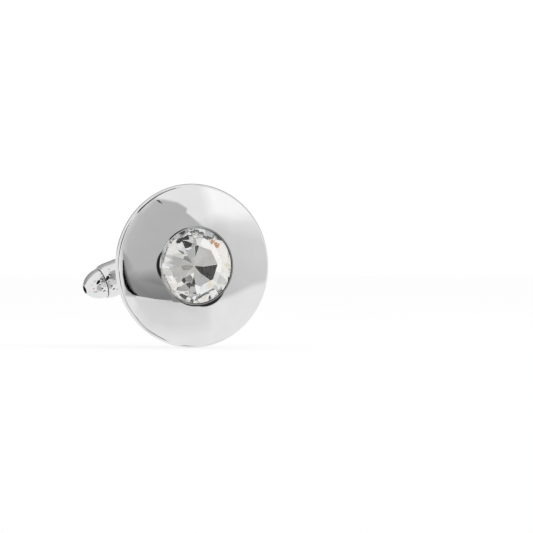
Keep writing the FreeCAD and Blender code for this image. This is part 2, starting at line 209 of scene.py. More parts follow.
@dataclass(frozen=True)
class PlatedMetal:
    """Mirror-polished plating with faint clouds, buffing hairlines and painted shade in grooves and
    gaps.
    """

    name: str
    bright: Triple = (0.775, 0.775, 0.78)
    clouded: Triple = (0.745, 0.745, 0.75)
    painted_shade: Triple = (0.03, 0.029, 0.028)
    painted_shade_roughness: float = 0.3
    smooth: float = 0.018
    hazy: float = 0.05
    cloud_scale: float = 420.0
    cloud_detail: float = 4.0
    cloud_stops: Pair = (0.35, 0.65)
    hairline_scale: float = 5200.0
    hairline_stretch: Triple = (1.0, 1.0, 0.06)
    hairline_turn: Triple = (0.0, 0.5, 0.0)

    def make(self) -> Material:
        """Build the material.

        Returns:
            The finished material.
        """
        material, bench, shader = new_material(self.name)
        cloud = bench.noise(self.cloud_scale, self.cloud_detail)
        tone = bench.ramp(cloud, self.cloud_stops, self.clouded, self.bright)
        # Painted shade: a mesh attribute darkens the metal nearly to black and dulls its polish
        # where shade falls in grooves, gaps and holes.
        painted_shade_mask = bench.read("painted_shade")
        mix = bench.add("ShaderNodeMix", data_type="RGBA")
        bench.feed(mix, {0: painted_shade_mask, MIX_FIRST: tone, MIX_SECOND: (*self.painted_shade, 1.0)})
        hairline = bench.noise(self.hairline_scale, stretch=self.hairline_stretch,
                               turn=self.hairline_turn)
        haze = bench.spread(bench.math("MULTIPLY", hairline, cloud), self.smooth, self.hazy)
        dulled = bench.math("MULTIPLY_ADD", painted_shade_mask, self.painted_shade_roughness, haze)
        tone = mix.outputs[MIX_RESULT]
        bench.feed(shader, {"Base Color": tone, "Roughness": dulled, "Metallic": 1.0})
        return material


@dataclass(frozen=True)
class CutGlass:
    """Clear lead-like glass with the faintest streaks in its polish."""

    name: str = "cut_glass_crown"
    tint: Triple = (0.99, 0.99, 0.985)
    bend: float = 1.58
    streak_scale: float = 2600.0
    streak_stops: Pair = (0.3, 0.7)

    def make(self) -> Material:
        """Build the material.

        Returns:
            The finished material.
        """
        material, bench, shader = new_material(self.name)
        streak = bench.noise(self.streak_scale)
        clear = bench.ramp(streak, self.streak_stops, self.tint, WHITE)
        bench.feed(shader, {"Base Color": clear, "Roughness": 0.0, "IOR": self.bend,
                            "Transmission Weight": 1.0})
        return material


@dataclass(frozen=True)
class MirrorFoil:
    """The silvered back of the stone, seen through the glass, a little warm and cool by turns."""

    name: str = "stone_foil"
    cool: Triple = (0.88, 0.89, 0.9)
    warm: Triple = (0.92, 0.905, 0.88)
    drift_scale: float = 380.0
    drift_stops: Pair = (0.4, 0.6)

    def make(self) -> Material:
        """Build the material.

        Returns:
            The finished material.
        """
        material, bench, shader = new_material(self.name)
        drift = bench.noise(self.drift_scale)
        tone = bench.ramp(drift, self.drift_stops, self.cool, self.warm)
        bench.feed(shader, {"Base Color": tone, "Roughness": 0.0, "Metallic": 1.0})
        return material


@dataclass(frozen=True)
class RolledSteel:
    """Hard spring strip with rolling lines along its length."""

    name: str = "rolled_spring_steel"
    pale: Triple = (0.58, 0.58, 0.6)
    dark: Triple = (0.46, 0.46, 0.48)
    roughness: Pair = (0.2, 0.4)
    line_scale: float = 9000.0
    line_stretch: Triple = (0.05, 1.0, 1.0)
    line_stops: Pair = (0.3, 0.7)

    def make(self) -> Material:
        """Build the material.

        Returns:
            The finished material.
        """
        material, bench, shader = new_material(self.name)
        lines = bench.noise(self.line_scale, stretch=self.line_stretch)
        tone = bench.ramp(lines, self.line_stops, self.dark, self.pale)
        rough = bench.spread(lines, *self.roughness)
        bench.feed(shader, {"Base Color": tone, "Roughness": rough, "Metallic": 1.0})
        return material


@dataclass
class Turning:
    """The outline of a turned piece: millimetres from its axis, millimetres along it, painted
    shade.
    """

    points: list[Triple] = field(default_factory=list)

    def to(self, radius: float, height: float, painted_shade: float = 0.0) -> "Turning":
        """Run straight to a point and return the outline."""
        self.points.append((radius, height, painted_shade))
        return self

    def arc(self, centre: Pair, size: float, start: float, end: float, steps: int,
            painted_shade: float = 0.0) -> "Turning":
        """Follow an arc.

        Args:
            centre: The arc's centre, as radius and height.
            size: The arc's own radius.
            start: The angle in degrees where it begins, 0 outwards and 90 up.
            end: The angle where it ends.
            steps: How many straight runs stand for it.
            painted_shade: How much painted shade its points hold.

        Returns:
            The outline.
        """
        for step in range(steps + 1):
            angle = math.radians(start + (end - start) * step / steps)
            self.to(centre[0] + size * math.cos(angle), centre[1] + size * math.sin(angle), painted_shade)
        return self

    def turn(self, name: str, segments: int, place: Matrix) -> bpy.types.Object:
        """Sweep the closed outline about its axis.

        Args:
            name: The new object's name.
            segments: How many steps make the round.
            place: From the turned shape, axis along Z in millimetres, to the row frame in metres.

        Returns:
            The object, smooth but for its true edges.
        """
        mesh = bmesh.new()
        # Each point's painted shade goes on the mesh as an attribute that darkens the metal where
        # shade falls.
        layer = mesh.verts.layers.float.new("painted_shade")
        rings = []
        for radius, height, painted_shade in self.points:
            ring = []
            for step in range(1 if radius < ON_AXIS else segments):
                angle = 2 * math.pi * step / segments
                spot = (radius * math.cos(angle), radius * math.sin(angle), height)
                vertex = mesh.verts.new(spot)
                vertex[layer] = painted_shade
                ring.append(vertex)
            rings.append(ring)
        for index, low in enumerate(rings):
            high = rings[(index + 1) % len(rings)]
            # A ring may be a single point on the axis, and then the band has triangles.
            for step in range(segments if len(low) + len(high) > 2 else 0):
                band = (low[step % len(low)], low[(step + 1) % len(low)],
                        high[(step + 1) % len(high)], high[step % len(high)])
                mesh.faces.new(tuple(dict.fromkeys(band)))
        bmesh.ops.remove_doubles(mesh, verts=mesh.verts, dist=WELD)
        bmesh.ops.transform(mesh, matrix=place, verts=mesh.verts)
        bmesh.ops.recalc_face_normals(mesh, faces=mesh.faces)
        return mesh_object(name, mesh)


def link_object(name: str, data: bpy.types.ID) -> bpy.types.Object:
    """Make an object of some data and link it to the scene.

    Args:
        name: The object's name.
        data: What it shows.

    Returns:
        The object.
    """
    thing = bpy.data.objects.new(name, data)
    bpy.context.scene.collection.objects.link(thing)
    return thing


def shade(data: bpy.types.Mesh) -> None:
    """Smooth a mesh but for its true edges."""
    data.shade_smooth()
    data.set_sharp_from_angle(angle=math.radians(SHARP_ANGLE))


def mesh_object(name: str, mesh: bmesh.types.BMesh, smooth: bool = True) -> bpy.types.Object:
    """Turn mesh code into an object.

    Args:
        name: The object's name.
        mesh: The shape, which is freed.
        smooth: Whether it is shaded smooth but for its true edges.

    Returns:
        The object, linked to the scene.
    """
    data = bpy.data.meshes.new(name)
    mesh.to_mesh(data)
    mesh.free()
    if smooth:
        shade(data)
    return link_object(name, data)


def settle(thing: bpy.types.Object) -> None:
    """Replace an object's mesh by what its modifiers make of it, and drop them.

    Args:
        thing: The object to settle.
    """
    bpy.context.view_layer.update()
    graph = bpy.context.evaluated_depsgraph_get()
    data = bpy.data.meshes.new_from_object(thing.evaluated_get(graph), depsgraph=graph)
    thing.modifiers.clear()
    thing.data = data


def dress(thing: bpy.types.Object, body: Body, node: str, slot: Slot, *finishes: Material) -> None:
    """Give a piece its finishes, set it on its body and let it stand for its CAD node.

    Args:
        thing: The piece.
        body: The body that it rides on.
        node: The CAD node that it stands for.
        slot: The record's material slot; not used.
        *finishes: Materials for its slots, none where the mesh already holds them.
    """
    if finishes:
        thing.data.materials.clear()
        for finish in finishes:
            thing.data.materials.append(finish)
    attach(thing, body.value)
    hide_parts(node)
    LOG.info("%s: %d faces on %s", thing.name, len(thing.data.polygons), body.value)


FACE_FORWARDS = Matrix(((-MM, 0, 0, 0), (0, 0, -MM, 0), (0, -MM, 0, 0), (0, 0, 0, 1)))


@dataclass
class Head:
    """The head: domed face, bezel ring, stone and back plate.

    Sizes are in millimetres, angles in degrees. Each seam shade is a dark crescent of painted
    shade beside the bezel, where shade falls in the gap: an angle round the bezel, clockwise from
    the right as the face is seen, with its half width and its depth.
    """

    metal: Material
    glass: Material
    foil: Material
    disc: float = 9.0
    rim_edge: float = 0.5
    dome: float = 34.02
    hole_top: float = 2.34
    wall: float = 0.6
    rim_round: float = 0.4
    rim_back: float = 0.2
    hole_round: float = 0.03
    hole_wall: float = 0.25
    plate: float = 0.45
    plate_lip: float = 0.6
    plate_flange: float = 1.0
    plate_flat: float = 4.4
    plate_bend: float = 0.8
    tenon_hole: float = 1.01
    stone: float = 4.15
    stone_gap: float = 0.03
    bezel_wall: float = 0.12
    setback: float = 0.2
    girdle: float = 0.15
    lip_height: float = 0.06
    lip_lean: float = 0.09
    lip_thickness: float = 0.12
    lip_end: float = 52.0
    brow: Pair = (48.0, 40.0)
    bezel_flange: float = 0.45
    bezel_flange_thickness: float = 0.25
    seat_gap: float = 0.02
    table: float = 2.075
    crown: float = 0.85
    crown_break: float = 0.59
    pavilion: float = 1.14
    pavilion_break: float = 0.89
    culet: float = 0.1
    crown_turn: float = 26.8
    pavilion_turn: float = 17.3
    # Dark crescents of painted shade beside the bezel, and how far and how softly they reach.
    seam_shades: tuple[Triple, ...] = ((181.0, 22.0, 0.37), (66.0, 26.0, 0.36), (95.0, 26.0, 0.16))
    seam_shade_reach: float = 1.0
    seam_shade_fade: float = 0.05
    # How dark the painted shade is on the lip, its brow and the bezel's wall, and how it thins
    # towards the lit side.
    lip_painted_shade: float = 0.9
    brow_painted_shade: float = 0.75
    bezel_painted_shade: float = 0.65
    shaded_side: float = 15.0
    least_painted_shade: float = 0.25
    shade_middle: float = 0.75
    shade_swing: float = 0.9
    segments: int = 256
    dome_steps: int = 72
    inside_steps: int = 24
    edge_steps: int = 10
    bend_steps: int = 8
    back_edge_steps: int = 6
    brow_steps: int = 3

    def __post_init__(self) -> None:
        """Work out the heights and radii that the pieces share."""
        self.inside = self.dome - self.wall
        self.bore = self.stone + self.stone_gap
        self.bezel = self.bore + self.bezel_wall
        self.hole = self.bezel + self.seat_gap
        self.centre = self.hole_top - math.sqrt(self.dome**2 - self.hole**2)
        self.rim_top = self.dome_height(self.dome, self.disc)
        self.back_bulge = self.rim_top - self.rim_edge
        self.girdle_top = self.hole_top - self.setback
        self.girdle_under = self.girdle_top - self.girdle
        self.recess = self.disc - self.plate_lip
        self.plate_front = self.back_bulge + self.plate
        self.crown_side = FacetSide(self.stone, self.girdle_top, self.table, self.crown,
                                    self.crown_break, self.crown_turn, 1.0)
        self.pavilion_side = FacetSide(self.stone, self.girdle_under, self.culet, self.pavilion,
                                       self.pavilion_break, self.pavilion_turn, -1.0)

    def dome_height(self, sphere: float, radius: float) -> float:
        """The height of one of the dome's two spheres at a distance from the axis."""
        return self.centre + math.sqrt(sphere**2 - radius**2)

    def tilt(self, sphere: float, radius: float) -> float:
        """The angle in degrees, on a sphere of the dome, of a point at a distance from the axis."""
        return math.degrees(math.acos(radius / sphere))

    def face_dome(self) -> None:
        """Turn the domed face, with its rolled rim and the eased edge of its hole."""
        middle = (0.0, self.centre)
        rim_middle = self.disc - self.rim_round
        rim_side = self.dome_height(self.dome - self.rim_round, rim_middle)
        rim_angle = self.tilt(self.dome - self.rim_round, rim_middle)
        back_edge = (self.disc - self.rim_back, self.back_bulge + self.rim_back)
        hole_middle = self.hole + self.hole_round
        hole_side = self.dome_height(self.dome - self.hole_round, hole_middle)
        hole_angle = self.tilt(self.dome - self.hole_round, hole_middle)
        ledge = self.plate_front + self.seat_gap
        cavity = math.sqrt(self.inside**2 - (ledge - self.centre) ** 2)
        cavity_angle = self.tilt(self.inside, cavity)
        shape = Turning()
        # The hole's wall is painted fully dark, as shade in the gap round the bezel.
        shape.to(self.hole, hole_side - self.hole_wall, FULL)
        shape.arc((hole_middle, hole_side), self.hole_round, 180.0, hole_angle, self.edge_steps)
        shape.arc(middle, self.dome, hole_angle, rim_angle, self.dome_steps)
        shape.arc((rim_middle, rim_side), self.rim_round, rim_angle, 0.0, self.edge_steps)
        shape.to(self.disc, self.back_bulge + self.rim_back)
        shape.arc(back_edge, self.rim_back, 0.0, -90.0, self.back_edge_steps)
        shape.to(self.recess, self.back_bulge).to(self.recess, ledge).to(cavity, ledge)
        shape.arc(middle, self.inside, cavity_angle, self.tilt(self.inside, self.hole),
                  self.inside_steps)
        dome = shape.turn("domed_face", self.segments, FACE_FORWARDS)
        self.paint_seam_shade(dome)
        dress(dome, Body.HEAD, "face_dome", Slot.METAL, self.metal)

    def paint_seam_shade(self, dome: bpy.types.Object) -> None:
        """Paint shade on the dome beside the bezel: dark crescents at its left and below it, where
        shade falls in the gap.

        Args:
            dome: The domed face.
        """
        painted_shade = dome.data.attributes["painted_shade"].data
        for vertex in dome.data.vertices:
            across, height, up = vertex.co.x / MM, -vertex.co.y / MM, vertex.co.z / MM
            radius = math.hypot(across, up)
            if height < self.rim_top or radius > self.hole + self.seam_shade_reach:
                continue
            angle = math.degrees(math.atan2(-up, across))
            spot = painted_shade[vertex.index]
            for middle, spread, depth in self.seam_shades:
                away = (angle - middle + 180.0) % 360.0 - 180.0
                reach = depth * max(0.0, 1.0 - (away / spread) ** 2)
                inside = self.hole + reach - radius
                spot.value = max(spot.value, min(FULL, max(0.0, inside / self.seam_shade_fade)))

    def bezel_ring(self) -> None:
        """Turn the ring round the stone: a seat, a lip burnished over the girdle, and a flange."""
        seat_level = self.girdle_under - self.seat_gap
        ease = self.lip_thickness / 2
        lip = (self.bore - self.lip_lean + ease, self.hole_top + self.lip_height - ease)
        flange = self.bezel + self.bezel_flange
        flange_top = self.dome_height(self.inside, flange) - self.seat_gap
        flange_under = flange_top - self.bezel_flange_thickness
        seat_inside = self.bore - (seat_level - flange_under) / self.pavilion_side.break_slope()
        shape = Turning()
        shape.to(seat_inside, flange_under)
        shape.to(self.bore, seat_level).to(self.bore, self.girdle_top)
        # The lip's inner edge, its brow and the outer wall down to the flange carry painted shade,
        # where shade falls between the lip, the stone and the dome.
        shape.arc(lip, ease, 180.0, self.lip_end, self.bend_steps, self.lip_painted_shade)
        shape.arc(lip, ease, *self.brow, self.brow_steps, self.brow_painted_shade)
        shape.to(self.bezel, self.hole_top, self.bezel_painted_shade)
        shape.to(self.bezel, flange_top, FULL).to(flange, flange_top).to(flange, flange_under)
        ring = shape.turn("stone_bezel", self.segments, FACE_FORWARDS)
        self.thin_painted_shade(ring)
        dress(ring, Body.HEAD, "bezel_ring", Slot.METAL, self.metal)

    def thin_painted_shade(self, ring: bpy.types.Object) -> None:
        """Thin the painted shade on the bezel towards its lit side, its left.

        Args:
            ring: The bezel ring.
        """
        painted_shade = ring.data.attributes["painted_shade"].data
        for vertex in ring.data.vertices:
            away = math.atan2(-vertex.co.z, vertex.co.x) - math.radians(self.shaded_side)
            share = min(1.0, max(0.0, self.shade_middle + self.shade_swing * math.cos(away)))
            kept = self.least_painted_shade + (1.0 - self.least_painted_shade) * share
            painted_shade[vertex.index].value *= kept

    def back_plate(self) -> None:
        """Turn the pan that closes the back, with its pressed bends."""
        outer = self.recess - self.seat_gap
        edge = outer - self.plate_flange
        slope = math.atan2(self.back_bulge, edge - self.plate_flat)
        run = self.plate_bend * math.tan(slope / 2)
        shift = self.plate * math.tan(slope / 2)
        fall = math.degrees(slope)
        inner_bend = (self.plate_flat - run, self.plate_bend)
        outer_bend = (edge + run, self.back_bulge - self.plate_bend)
        shape = Turning()
        shape.to(self.tenon_hole, 0.0)
        shape.arc(inner_bend, self.plate_bend, -90.0, -90.0 + fall, self.bend_steps)
        shape.arc(outer_bend, self.plate_bend, 90.0 + fall, 90.0, self.bend_steps)
        shape.to(outer, self.back_bulge).to(outer, self.plate_front)
        shape.to(edge - shift, self.plate_front).to(self.plate_flat - shift, self.plate)
        shape.to(self.tenon_hole, self.plate)
        pan = shape.turn("back_pan", self.segments, FACE_FORWARDS)
        dress(pan, Body.HEAD, "back_plate", Slot.METAL, self.metal)

    def crystal(self) -> None:
        """Cut the stone by its facet rule in Geometry Nodes and settle it to a mesh."""
        stone = link_object("cut_stone", bpy.data.meshes.new("cut_stone"))
        rule = FacetRule((self.crown_side, self.pavilion_side), self.glass, self.foil)
        stone.modifiers.new("facets", "NODES").node_group = rule.make()
        settle(stone)
        stone.data.transform(FACE_FORWARDS)
        dress(stone, Body.HEAD, "crystal", Slot.GLASS)

    def build(self) -> None:
        """Build every piece of the head."""
        self.face_dome()
        self.bezel_ring()
        self.back_plate()
        self.crystal()


@dataclass(frozen=True)
class FacetSide:
    """The crown or the pavilion of a round stone: main facets, and break facets between them.

    Sizes are in millimetres and count from the girdle's level, up where the sign is 1 and down
    where it is -1. The turn is in degrees.
    """

    stone: float
    level: float
    flat: float
    height: float
    broken: float
    turn: float
    sign: float

    def first(self) -> float:
        """The angle of the first main facet, in radians."""
        return math.radians(self.turn)

    def between(self) -> float:
        """The angle of the first break facet, in radians."""
        return self.first() + HALF_FACET

    def slope(self) -> float:
        """How steep the main facets are."""
        return self.height / (self.stone - self.flat)

    def ridge(self) -> float:
        """The radius where the break facets begin."""
        return (self.stone - self.broken / self.slope()) * RIDGE

    def break_slope(self) -> float:
        """How steep the break facets are."""
        return self.broken / (self.stone - self.ridge())


@dataclass
class FacetRule:
    """The node tree that cuts a stone: rings of corners and scalloped girdle lines, hulled.

    Faces whose normal rises less than silvered_below, the pavilion and the girdle, get the foil.
    """

    sides: tuple[FacetSide, ...]
    glass: Material
    foil: Material
    girdle_points: int = 192
    silvered_below: float = 0.05

    def __post_init__(self) -> None:
        """Open an empty tree."""
        self.tree = bpy.data.node_groups.new("facet_rule", "GeometryNodeTree")
        self.bench = NodeBench(self.tree)

    def ring(self, count: int, radius: float, height: float, turn: float = 0.0) -> Socket:
        """Lay a ring of points.

        Args:
            count: How many points.
            radius: Their radius.
            height: Their height.
            turn: The angle of the first point, in radians.

        Returns:
            The ring as geometry.
        """
        circle = self.bench.run("GeometryNodeMeshCircle", {"Vertices": count, "Radius": radius})
        return self.bench.run("GeometryNodeTransform", {
            "Geometry": circle, "Translation": (0.0, 0.0, height), "Rotation": (0.0, 0.0, turn)})

    def rise(self, stone: float, angle: Socket, turn: float, slope: float) -> Socket:
        """How far a ring of facets stands off the girdle's level at an angle on the girdle.

        Args:
            stone: The stone's radius.
            angle: The angle of a girdle point.
            turn: The angle of one facet of the ring.
            slope: The facets' slope.

        Returns:
            The rise at that point.
        """
        away = self.bench.math("SUBTRACT", angle, turn)
        near = self.bench.math("WRAP", away, HALF_FACET, -HALF_FACET)
        short = self.bench.math("SUBTRACT", 1.0, self.bench.math("COSINE", near))
        return self.bench.math("MULTIPLY", self.bench.math("MULTIPLY", short, stone), slope)

    def girdle(self, side: FacetSide) -> Socket:
        """Lay the scalloped line where one side's facets run out into the girdle.

        Args:
            side: The crown or the pavilion.

        Returns:
            The line as geometry.
        """
        bench = self.bench
        place = bench.split("GeometryNodeInputPosition")
        angle = bench.math("ARCTAN2", place["Y"], place["X"])
        main_rise = self.rise(side.stone, angle, side.first(), side.slope())
        break_rise = self.rise(side.stone, angle, side.between(), side.break_slope())
        least = bench.math("MINIMUM", main_rise, break_rise)
        lift = bench.run("ShaderNodeCombineXYZ", {"Z": bench.math("MULTIPLY", least, side.sign)})
        ring = self.ring(self.girdle_points, side.stone, side.level)
        return bench.run("GeometryNodeSetPosition", {"Geometry": ring, "Offset": lift})

    def make(self) -> bpy.types.NodeTree:
        """Build the tree.

        Returns:
            The finished tree.
        """
        bench = self.bench
        self.tree.interface.new_socket("Geometry", in_out="OUTPUT",
                                       socket_type="NodeSocketGeometry")
        join = bench.add("GeometryNodeJoinGeometry")
        for side in self.sides:
            for radius, rise in ((side.flat * RIDGE, side.height), (side.ridge(), side.broken)):
                ring = self.ring(FACETS, radius, side.level + side.sign * rise, side.between())
                bench.link(ring, join.inputs[0])
            bench.link(self.girdle(side), join.inputs[0])
        hull = bench.run("GeometryNodeConvexHull", {0: join.outputs[0]})
        crisp = bench.run("GeometryNodeSetShadeSmooth", {"Geometry": hull, "Shade Smooth": False})
        real = bench.run("GeometryNodeRealizeInstances", {0: crisp})
        clear = bench.run("GeometryNodeSetMaterial", {"Geometry": real, "Material": self.glass})
        facing = bench.split("GeometryNodeInputNormal")["Z"]
        backed = bench.math("LESS_THAN", facing, self.silvered_below)
        silver = bench.run("GeometryNodeSetMaterial", {
            "Geometry": clear, "Selection": backed, "Material": self.foil})
        bench.link(silver, bench.add("NodeGroupOutput").inputs[0])
        return self.tree


@dataclass
class Post:
    """The forked post and its riveted pin, whose CAD shapes get eased edges.

    The ease is in millimetres, the weld in metres and the angles in degrees.
    """

    metal: Material
    ease: float = 0.05
    steps: int = 2
    weld: float = 2e-7
    flat_angle: float = 1.0
    eased_angle: float = 32.0

    def eased(self, node: str, name: str) -> None:
        """Copy a CAD node, join its triangles to whole faces and ease its edges.

        Args:
            node: The CAD node.
            name: The new piece's name.
        """
        mesh = bmesh.new()
        mesh.from_mesh(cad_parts[node].data)
        bmesh.ops.remove_doubles(mesh, verts=mesh.verts, dist=self.weld)
        bmesh.ops.dissolve_limit(mesh, angle_limit=math.radians(self.flat_angle),
                                 verts=mesh.verts, edges=mesh.edges)
        piece = mesh_object(name, mesh)
        bevel = piece.modifiers.new("ease", "BEVEL")
        bevel.width = self.ease * MM
        bevel.segments = self.steps
        bevel.limit_method = "ANGLE"
        bevel.angle_limit = math.radians(self.eased_angle)
        settle(piece)
        shade(piece.data)
        dress(piece, Body.HEAD, node, Slot.METAL, self.metal)

    def build(self) -> None:
        """Build the post and the pin."""
        self.eased("post_fork", "forked_post")
        self.eased("pivot_pin", "riveted_pin")


@dataclass
class Toggle:
    """The bullet toggle: barrel, two end caps and the leaf inside.

    Sizes are in millimetres, angles in degrees.
    """

    metal: Material
    steel: Material
    pivot: float = 13.2
    roll: float = 20.0
    barrel: float = 2.0
    half: float = 5.65
    wall: float = 0.45
    seam_drop: float = 0.22
    seam_groove: float = 0.06
    seam_ease: float = 0.6
    # How dark the painted shade is in the barrel's seam groove.
    seam_painted_shade: float = 0.6
    end_length: float = 1.0
    cap_step: float = 0.085
    cap_ease: float = 0.05
    cap_start: float = 1.2
    cap_length: float = 2.17
    tip_share: float = 0.31
    tip_round: float = 0.05
    tip_hole_share: float = 0.87
    tip_hole_depth: float = 1.4
    # How deep in the cap's hole the painted shade starts, and how dark it is there.
    tip_shade_depth: float = 0.25
    tip_painted_shade: float = 0.9
    spigot: float = 1.2
    seat_gap: float = 0.02
    press_gap: float = 0.01
    cross_hole: float = 0.63
    drill_reach: float = 3.0
    segments: int = 160
    drill_segments: int = 48
    barrel_steps: int = 12
    end_steps: int = 16
    cap_steps: int = 32
    tip_steps: int = 5

    def place(self, sign: float) -> Matrix:
        """From a turned shape with its axis along Z to the row frame.

        Args:
            sign: 1 to point the axis at the right end, and -1 at the left end.

        Returns:
            The placing matrix.
        """
        angle = math.radians(self.roll)
        along = Vector((math.cos(angle), 0.0, math.sin(angle))) * sign
        back = Vector((0.0, 1.0, 0.0))
        across = back.cross(along)
        turned = Matrix((across, back, along)).transposed().to_4x4()
        return Matrix.Translation((0.0, self.pivot * MM, 0.0)) @ turned @ Matrix.Scale(MM, 4)

    def toggle_barrel(self) -> None:
        """Turn the barrel and drill it across for the pin."""
        straight = self.half - self.end_length
        curve = (self.end_length**2 + self.seam_drop**2) / (2 * self.seam_drop)
        span = math.degrees(math.asin(self.end_length / curve)) - self.seam_ease
        bore = self.barrel - self.wall
        seam = self.barrel - self.seam_drop - self.seam_groove
        shape = Turning()
        # The seam's groove at each end is painted dark, as shade in the crease against the cap.
        shape.to(bore, -self.half).to(seam, -self.half, self.seam_painted_shade)
        shape.arc((self.barrel - curve, -straight), curve, -span, 0.0, self.end_steps)
        for step in range(1, self.barrel_steps):
            shape.to(self.barrel, -straight + 2 * straight * step / self.barrel_steps)
        shape.arc((self.barrel - curve, straight), curve, 0.0, span, self.end_steps)
        shape.to(seam, self.half, self.seam_painted_shade).to(bore, self.half)
        barrel = shape.turn("bullet_barrel", self.segments, self.place(1.0))
        drill = Turning()
        drill.to(0.0, -self.drill_reach).to(self.cross_hole, -self.drill_reach)
        drill.to(self.cross_hole, self.drill_reach).to(0.0, self.drill_reach)
        cross = self.place(1.0) @ Matrix.Rotation(math.pi / 2, 4, "Y")
        cutter = drill.turn("cross_drill", self.drill_segments, cross)
        cut = barrel.modifiers.new("drill", "BOOLEAN")
        cut.operation = "DIFFERENCE"
        cut.solver = "EXACT"
        cut.object = cutter
        settle(barrel)
        bpy.data.objects.remove(cutter)
        shade(barrel.data)
        dress(barrel, Body.TOGGLE, "toggle_barrel", Slot.METAL, self.metal)

    def end_cap(self, node: str, name: str, sign: float) -> None:
        """Turn one domed cap with the blind hole in its tip.

        Args:
            node: The CAD node that it stands for.
            name: The piece's name.
            sign: 1 for the right end and -1 for the left.
        """
        cap = self.barrel - self.seam_drop - self.cap_step
        tip = cap * self.tip_share
        hole = tip * self.tip_hole_share
        seat = self.half + self.seat_gap
        end = self.half + self.cap_length
        floor = end - self.tip_hole_depth
        drop = cap - tip
        curve = ((end - seat) ** 2 + drop**2) / (2 * drop)
        span = math.degrees(math.asin((end - seat) / curve))
        inner = self.barrel - self.wall - self.press_gap
        foot = self.half - self.spigot
        brink = (hole + self.tip_round, end - self.tip_round)
        shape = Turning()
        # The cap's blind hole and its seat against the barrel are painted dark, as shade in the
        # hole and the joint.
        shape.to(0.0, foot).to(inner, foot).to(inner, seat, FULL)
        shape.to(cap - self.cap_ease, seat, FULL)
        shape.arc((cap - curve, seat), curve, self.cap_start, span, self.cap_steps)
        shape.arc(brink, self.tip_round, 90.0, 180.0, self.tip_steps)
        shape.to(hole, end - self.tip_shade_depth, self.tip_painted_shade)
        shape.to(hole, floor, FULL).to(0.0, floor, FULL)
        piece = shape.turn(name, self.segments, self.place(sign))
        dress(piece, Body.TOGGLE, node, Slot.METAL, self.metal)

    def detent_spring(self) -> None:
        """Keep the leaf's CAD shape, which shows from no side, and give it its own finish."""
        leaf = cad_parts["detent_spring"]
        leaf.data.materials.clear()
        leaf.data.materials.append(self.steel)
        LOG.info("detent_spring: CAD shape kept")

    def build(self) -> None:
        """Build every piece of the toggle."""
        self.toggle_barrel()
        self.end_cap("end_cap_left", "left_end_cap", -1.0)
        self.end_cap("end_cap_right", "right_end_cap", 1.0)
        self.detent_spring()


@dataclass(frozen=True)
class Card:
    """A soft-edged studio card that only metal and glass reflect.

    Its corners run round it: azimuth, elevation and feather, in degrees seen from the head, and
    light. Its distance is in metres.
    """

    name: str
    corners: tuple[tuple[float, float, float, float], ...]
    distance: float
    tint: Triple = WHITE

    @classmethod
    def even(cls, name: str, outline: tuple[Pair, ...], feather: float, light: float,
             distance: float, tint: Triple = WHITE) -> "Card":
        """Make a card with one feather and one light.

        Args:
            name: The card's name.
            outline: Its corners as azimuth and elevation, or two opposite ones of an upright card.
            feather: The width of its soft edge.
            light: Its light.
            distance: How far off it hangs.
            tint: Its colour.

        Returns:
            The card.
        """
        if len(outline) == 2:
            (near, low), (far, high) = outline
            outline = ((near, low), (near, high), (far, high), (far, low))
        return cls(name, tuple((*corner, feather, light) for corner in outline), distance, tint)

    def outer(self) -> list[Vector]:
        """The corners pushed outwards by their feathers, as azimuth and elevation.

        Returns:
            One outer corner for each corner.
        """
        flat = [Vector(corner[:2]) for corner in self.corners]
        turned = sum(a.x * b.y - b.x * a.y for a, b in zip(flat, flat[1:] + flat[:1]))
        side = 1.0 if turned > 0 else -1.0
        pushed = []
        for index, corner in enumerate(flat):
            before = (corner - flat[index - 1]).normalized()
            after = (flat[(index + 1) % len(flat)] - corner).normalized()
            way = Vector((before.y + after.y, -before.x - after.x)) * side
            pushed.append(corner + way.normalized() * self.corners[index][2])
        return pushed

    def build(self, glow: Material) -> None:
        """Hang the card.

        Args:
            glow: The material that reads the card's light, cover and tint.
        """
        mesh = bmesh.new()
        light = mesh.verts.layers.float.new("light")
        cover = mesh.verts.layers.float.new("cover")
        tint = mesh.verts.layers.float_color.new("tint")
        inner, outer = ([mesh.verts.new(toward(*way[:2]) * self.distance) for way in ring]
                        for ring in (self.corners, self.outer()))
        for corner, inside, outside in zip(self.corners, inner, outer):
            inside[light] = outside[light] = corner[3]
            inside[cover] = 1.0
        for vertex in mesh.verts:
            vertex[tint] = (*self.tint, 1.0)
        mesh.faces.new(inner)
        for index in range(len(inner)):
            after = (index + 1) % len(inner)
            mesh.faces.new((inner[index], outer[index], outer[after], inner[after]))
        card = mesh_object(self.name, mesh, smooth=False)
        card.data.materials.append(glow)
        card.visible_camera = False
        card.visible_diffuse = False
        card.visible_shadow = False


def toward(azimuth: float, elevation: float) -> Vector:
    """The unit vector to a direction in degrees, azimuth 0 straight out of the face."""
    side, rise = math.radians(azimuth), math.radians(elevation)
    return Vector((math.sin(side), -math.cos(side), math.tan(rise))) * math.cos(rise)


def card_glow() -> Material:
    """Make the cards' material: their own light, fading out over their feathers.

    Returns:
        The finished material.
    """
    material, bench, shader = new_material("card_glow")
    material.node_tree.nodes.remove(shader)
    light = {"Strength": bench.read("light"), "Color": bench.read("tint", "Color")}
    glow = bench.run("ShaderNodeEmission", light)
    open_air = bench.run("ShaderNodeBsdfTransparent", {})
    bench.blend(bench.read("cover"), open_air, glow)
    return material


